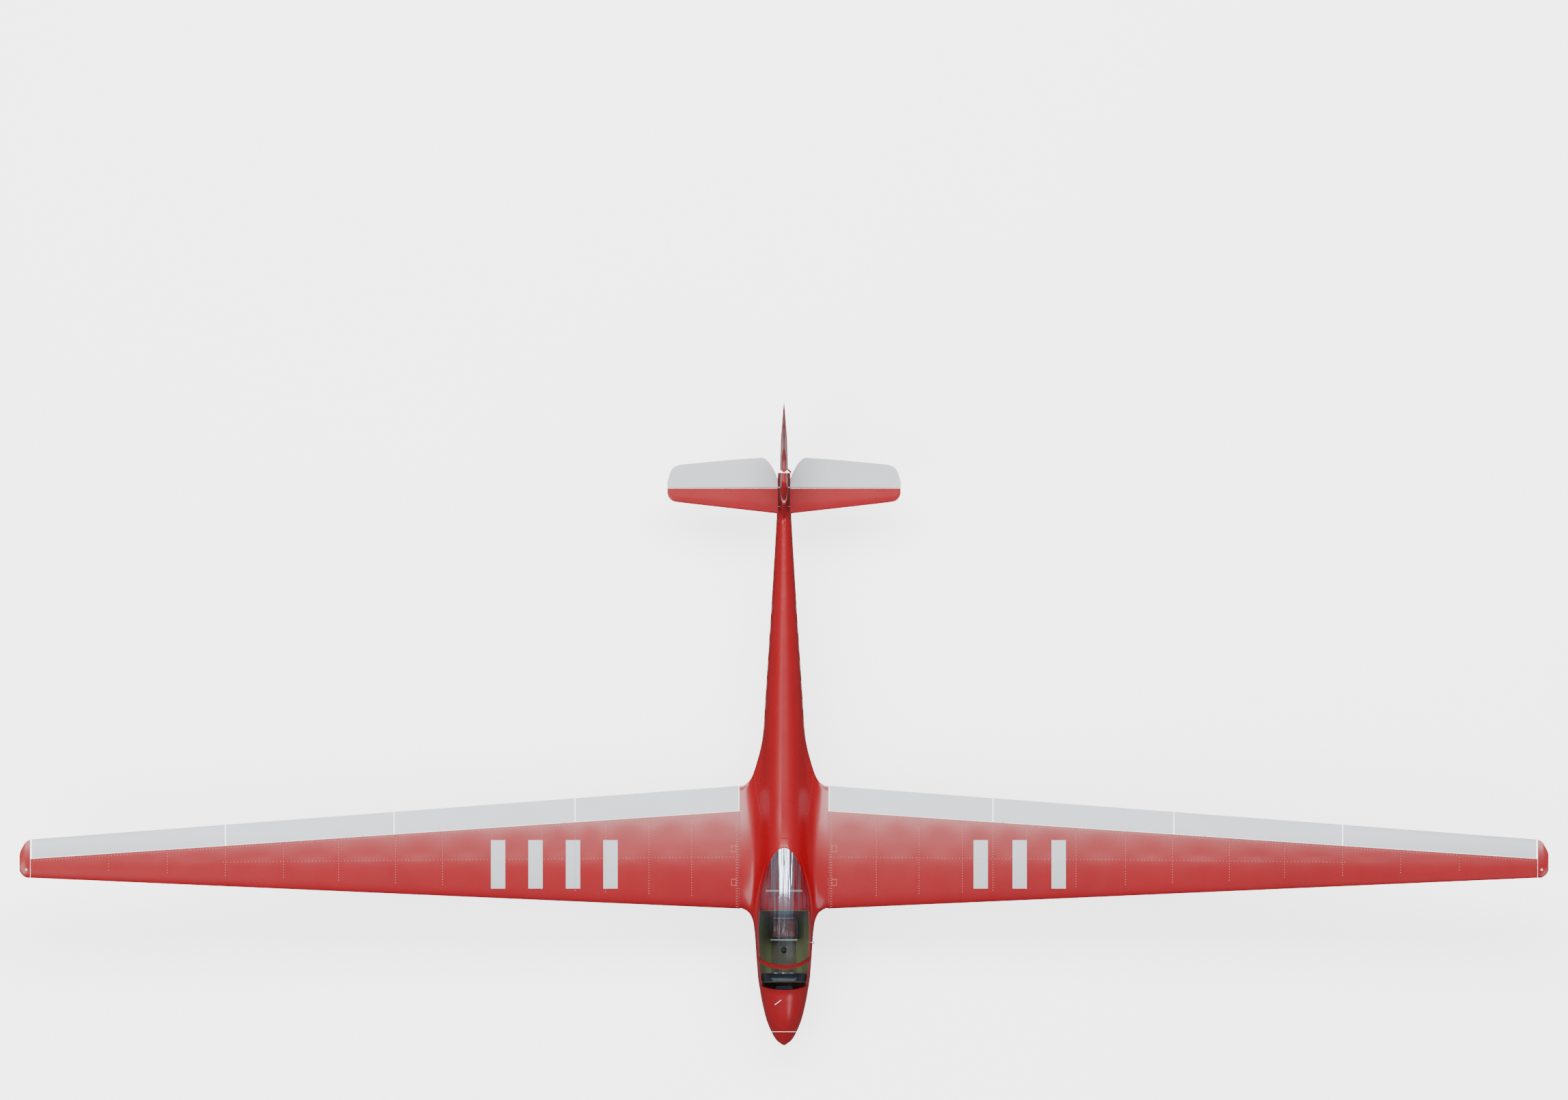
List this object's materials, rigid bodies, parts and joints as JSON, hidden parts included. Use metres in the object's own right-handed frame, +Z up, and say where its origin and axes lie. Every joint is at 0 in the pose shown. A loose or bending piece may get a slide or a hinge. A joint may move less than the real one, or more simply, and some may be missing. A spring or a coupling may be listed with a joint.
{
  "type": "rc glider",
  "caption": "Radio-controlled scale sailplane: hollow fuselage with side-hinged canopy, tapered wings with flaps and ailerons, tail surfaces, skid and sunk main wheel.",
  "frame": {"origin": "on the ground under the middle of the aircraft's box, with the fuselage level and the main wheel touching", "axes": "+Z up, nose towards -Y, the aircraft's left wing towards +X"},
  "size_m": [3, 1.26, 0.3055],
  "materials": {
    "red_gelcoat": "gloss",
    "red_cover": "satin",
    "white_cover": "satin",
    "rudder_paint": "satin",
    "canopy_glass": "gloss",
    "cockpit_green": "matte",
    "seat_leather": "satin",
    "black_plastic": "matte",
    "white_plastic": "satin",
    "bare_wood": "matte",
    "carbon_rod": "satin",
    "steel": "satin",
    "aluminium": "satin",
    "ballast_metal": "matte",
    "battery_wrap": "gloss",
    "skid_olive": "matte",
    "tail_skid_green": "satin",
    "tyre_rubber": "matte"
  },
  "bodies": {
    "airframe": {"battery_pack": "battery_wrap", "cockpit_tub": "cockpit_green", "control_stick": "black_plastic", "elevator_servo": "black_plastic", "fin_post": "bare_wood", "fuselage_shell": "red_gelcoat", "instrument_panel": "black_plastic", "left_aileron_servo": "black_plastic", "left_flap_servo": "black_plastic", "left_stabiliser": "red_cover", "left_wing_frame": "bare_wood", "left_wing_skin": "red_cover", "left_wing_tip": "red_cover", "nose_ballast": "ballast_metal", "nose_cap": "red_gelcoat", "nose_deck": "red_gelcoat", "pilot_seat": "seat_leather", "pitot_probe": "steel", "receiver": "black_plastic", "right_aileron_servo": "black_plastic", "right_flap_servo": "black_plastic", "right_stabiliser": "red_cover", "right_wing_frame": "bare_wood", "right_wing_skin": "red_cover", "right_wing_tip": "red_cover", "rudder_servo": "black_plastic", "servo_tray": "bare_wood", "skid_runner": "skid_olive", "skid_sole": "aluminium", "stabiliser_joiner": "carbon_rod", "tail_skid": "tail_skid_green", "wheel_axle": "steel", "windscreen_glass": "canopy_glass", "windscreen_hoop": "red_gelcoat", "wing_joiner": "carbon_rod"},
    "left_inner_flap": {"left_inner_flap": "white_cover"},
    "left_outer_flap": {"left_outer_flap": "white_cover"},
    "left_inner_aileron": {"left_inner_aileron": "white_cover"},
    "left_outer_aileron": {"left_outer_aileron": "white_cover"},
    "right_inner_flap": {"right_inner_flap": "white_cover"},
    "right_outer_flap": {"right_outer_flap": "white_cover"},
    "right_inner_aileron": {"right_inner_aileron": "white_cover"},
    "right_outer_aileron": {"right_outer_aileron": "white_cover"},
    "left_flap_pushrod": {"left_flap_pushrod": "steel"},
    "left_aileron_pushrod": {"left_aileron_pushrod": "steel"},
    "right_flap_pushrod": {"right_flap_pushrod": "steel"},
    "right_aileron_pushrod": {"right_aileron_pushrod": "steel"},
    "canopy": {"canopy_frame": "red_gelcoat", "canopy_glass": "canopy_glass"},
    "canopy_latch": {"canopy_latch": "steel"},
    "elevator": {"elevator": "white_cover"},
    "rudder": {"rudder": "rudder_paint"},
    "wheel": {"tyre": "tyre_rubber", "wheel_hub": "aluminium"},
    "tow_hook": {"tow_hook": "steel"},
    "elevator_servo_arm": {"elevator_servo_arm": "white_plastic"},
    "rudder_servo_arm": {"rudder_servo_arm": "white_plastic"},
    "elevator_pushrod": {"elevator_pushrod": "carbon_rod"},
    "rudder_pushrod": {"rudder_pushrod": "steel"}
  },
  "joints": [
    {"name": "left_inner_flap_hinge", "type": "hinge", "parent": "airframe", "child": "left_inner_flap", "pos_m": [0.09, -0.1716, 0.12297], "axis": [0.995, -0.067, 0.0734], "range_deg": [-30, 4]},
    {"name": "left_outer_flap_hinge", "type": "hinge", "parent": "airframe", "child": "left_outer_flap", "pos_m": [0.411, -0.19322, 0.14664], "axis": [0.9951, -0.067, 0.072], "range_deg": [-30, 4]},
    {"name": "left_inner_aileron_hinge", "type": "hinge", "parent": "airframe", "child": "left_inner_aileron", "pos_m": [0.766, -0.21712, 0.17234], "axis": [0.9953, -0.067, 0.0704], "range_deg": [-18, 18]},
    {"name": "left_outer_aileron_hinge", "type": "hinge", "parent": "airframe", "child": "left_outer_aileron", "pos_m": [1.097, -0.23941, 0.19576], "axis": [0.9954, -0.067, 0.0679], "range_deg": [-18, 18]},
    {"name": "right_inner_flap_hinge", "type": "hinge", "parent": "airframe", "child": "right_inner_flap", "pos_m": [-0.09, -0.1716, 0.12297], "axis": [0.995, 0.067, -0.0734], "range_deg": [-30, 4]},
    {"name": "right_outer_flap_hinge", "type": "hinge", "parent": "airframe", "child": "right_outer_flap", "pos_m": [-0.411, -0.19322, 0.14664], "axis": [0.9951, 0.067, -0.072], "range_deg": [-30, 4]},
    {"name": "right_inner_aileron_hinge", "type": "hinge", "parent": "airframe", "child": "right_inner_aileron", "pos_m": [-0.766, -0.21712, 0.17234], "axis": [0.9953, 0.067, -0.0704], "range_deg": [-18, 18]},
    {"name": "right_outer_aileron_hinge", "type": "hinge", "parent": "airframe", "child": "right_outer_aileron", "pos_m": [-1.097, -0.23941, 0.19576], "axis": [0.9954, 0.067, -0.0679], "range_deg": [-18, 18]},
    {"name": "left_flap_pushrod_slide", "type": "slide", "parent": "airframe", "child": "left_flap_pushrod", "axis": [0, 1, 0.0034], "range_m": [-0.00984, 0.00139]},
    {"name": "left_aileron_pushrod_slide", "type": "slide", "parent": "airframe", "child": "left_aileron_pushrod", "axis": [0, 0.9999, 0.012], "range_m": [-0.00551, 0.00551]},
    {"name": "right_flap_pushrod_slide", "type": "slide", "parent": "airframe", "child": "right_flap_pushrod", "axis": [0, 1, 0.0034], "range_m": [-0.00984, 0.00139]},
    {"name": "right_aileron_pushrod_slide", "type": "slide", "parent": "airframe", "child": "right_aileron_pushrod", "axis": [0, 0.9999, 0.012], "range_m": [-0.00551, 0.00551]},
    {"name": "canopy_hinge", "type": "hinge", "parent": "airframe", "child": "canopy", "pos_m": [-0.0545, -0.455, 0.12195], "axis": [0, -0.9746, -0.2239], "range_deg": [0, 75]},
    {"name": "canopy_latch_slide", "type": "slide", "parent": "canopy", "child": "canopy_latch", "axis": [0, 1, 0], "range_m": [0, 0.003]},
    {"name": "elevator_hinge", "type": "hinge", "parent": "airframe", "child": "elevator", "pos_m": [0, 0.462, 0.133], "axis": [1, 0, 0], "range_deg": [-20, 20]},
    {"name": "rudder_hinge", "type": "hinge", "parent": "airframe", "child": "rudder", "pos_m": [0, 0.4924, 0.133], "axis": [0, 0, 1], "range_deg": [-28, 28]},
    {"name": "wheel_spin", "type": "hinge", "parent": "airframe", "child": "wheel", "pos_m": [0, -0.284, 0.024], "axis": [1, 0, 0], "continuous": true},
    {"name": "tow_hook_pivot", "type": "hinge", "parent": "airframe", "child": "tow_hook", "pos_m": [0, -0.612, 0.051], "axis": [1, 0, 0], "range_deg": [0, 28]},
    {"name": "elevator_pushrod_slide", "type": "slide", "parent": "airframe", "child": "elevator_pushrod", "axis": [0, 0.9997, 0.0228], "range_m": [-0.0055, 0.0055]},
    {"name": "rudder_pushrod_slide", "type": "slide", "parent": "airframe", "child": "rudder_pushrod", "axis": [0, 1, 0], "range_m": [-0.006, 0.006]},
    {"name": "elevator_servo_shaft", "type": "hinge", "parent": "airframe", "child": "elevator_servo_arm", "pos_m": [-0.0154, -0.212, 0.101], "axis": [0, 0, 1], "range_deg": [-24, 24]},
    {"name": "rudder_servo_shaft", "type": "hinge", "parent": "airframe", "child": "rudder_servo_arm", "pos_m": [0.024, -0.212, 0.101], "axis": [0, 0, 1], "range_deg": [-27, 27]}
  ],
  "couplings": [
    {"joint": "left_outer_flap_hinge", "follows": "left_inner_flap_hinge", "ratio": 1},
    {"joint": "left_outer_aileron_hinge", "follows": "left_inner_aileron_hinge", "ratio": 1},
    {"joint": "right_inner_flap_hinge", "follows": "left_inner_flap_hinge", "ratio": 1},
    {"joint": "right_outer_flap_hinge", "follows": "left_inner_flap_hinge", "ratio": 1},
    {"joint": "right_inner_aileron_hinge", "follows": "left_inner_aileron_hinge", "ratio": -1},
    {"joint": "right_outer_aileron_hinge", "follows": "left_inner_aileron_hinge", "ratio": -1},
    {"joint": "left_flap_pushrod_slide", "follows": "left_inner_flap_hinge", "m_per_rad": 0.01857},
    {"joint": "left_aileron_pushrod_slide", "follows": "left_inner_aileron_hinge", "m_per_rad": 0.01723},
    {"joint": "right_flap_pushrod_slide", "follows": "left_inner_flap_hinge", "m_per_rad": 0.01857},
    {"joint": "right_aileron_pushrod_slide", "follows": "left_inner_aileron_hinge", "m_per_rad": -0.01723},
    {"joint": "elevator_pushrod_slide", "follows": "elevator_hinge", "m_per_rad": 0.014},
    {"joint": "elevator_servo_shaft", "follows": "elevator_hinge", "ratio": 1.148},
    {"joint": "rudder_pushrod_slide", "follows": "rudder_hinge", "m_per_rad": 0.0115},
    {"joint": "rudder_servo_shaft", "follows": "rudder_hinge", "ratio": -0.92}
  ]
}
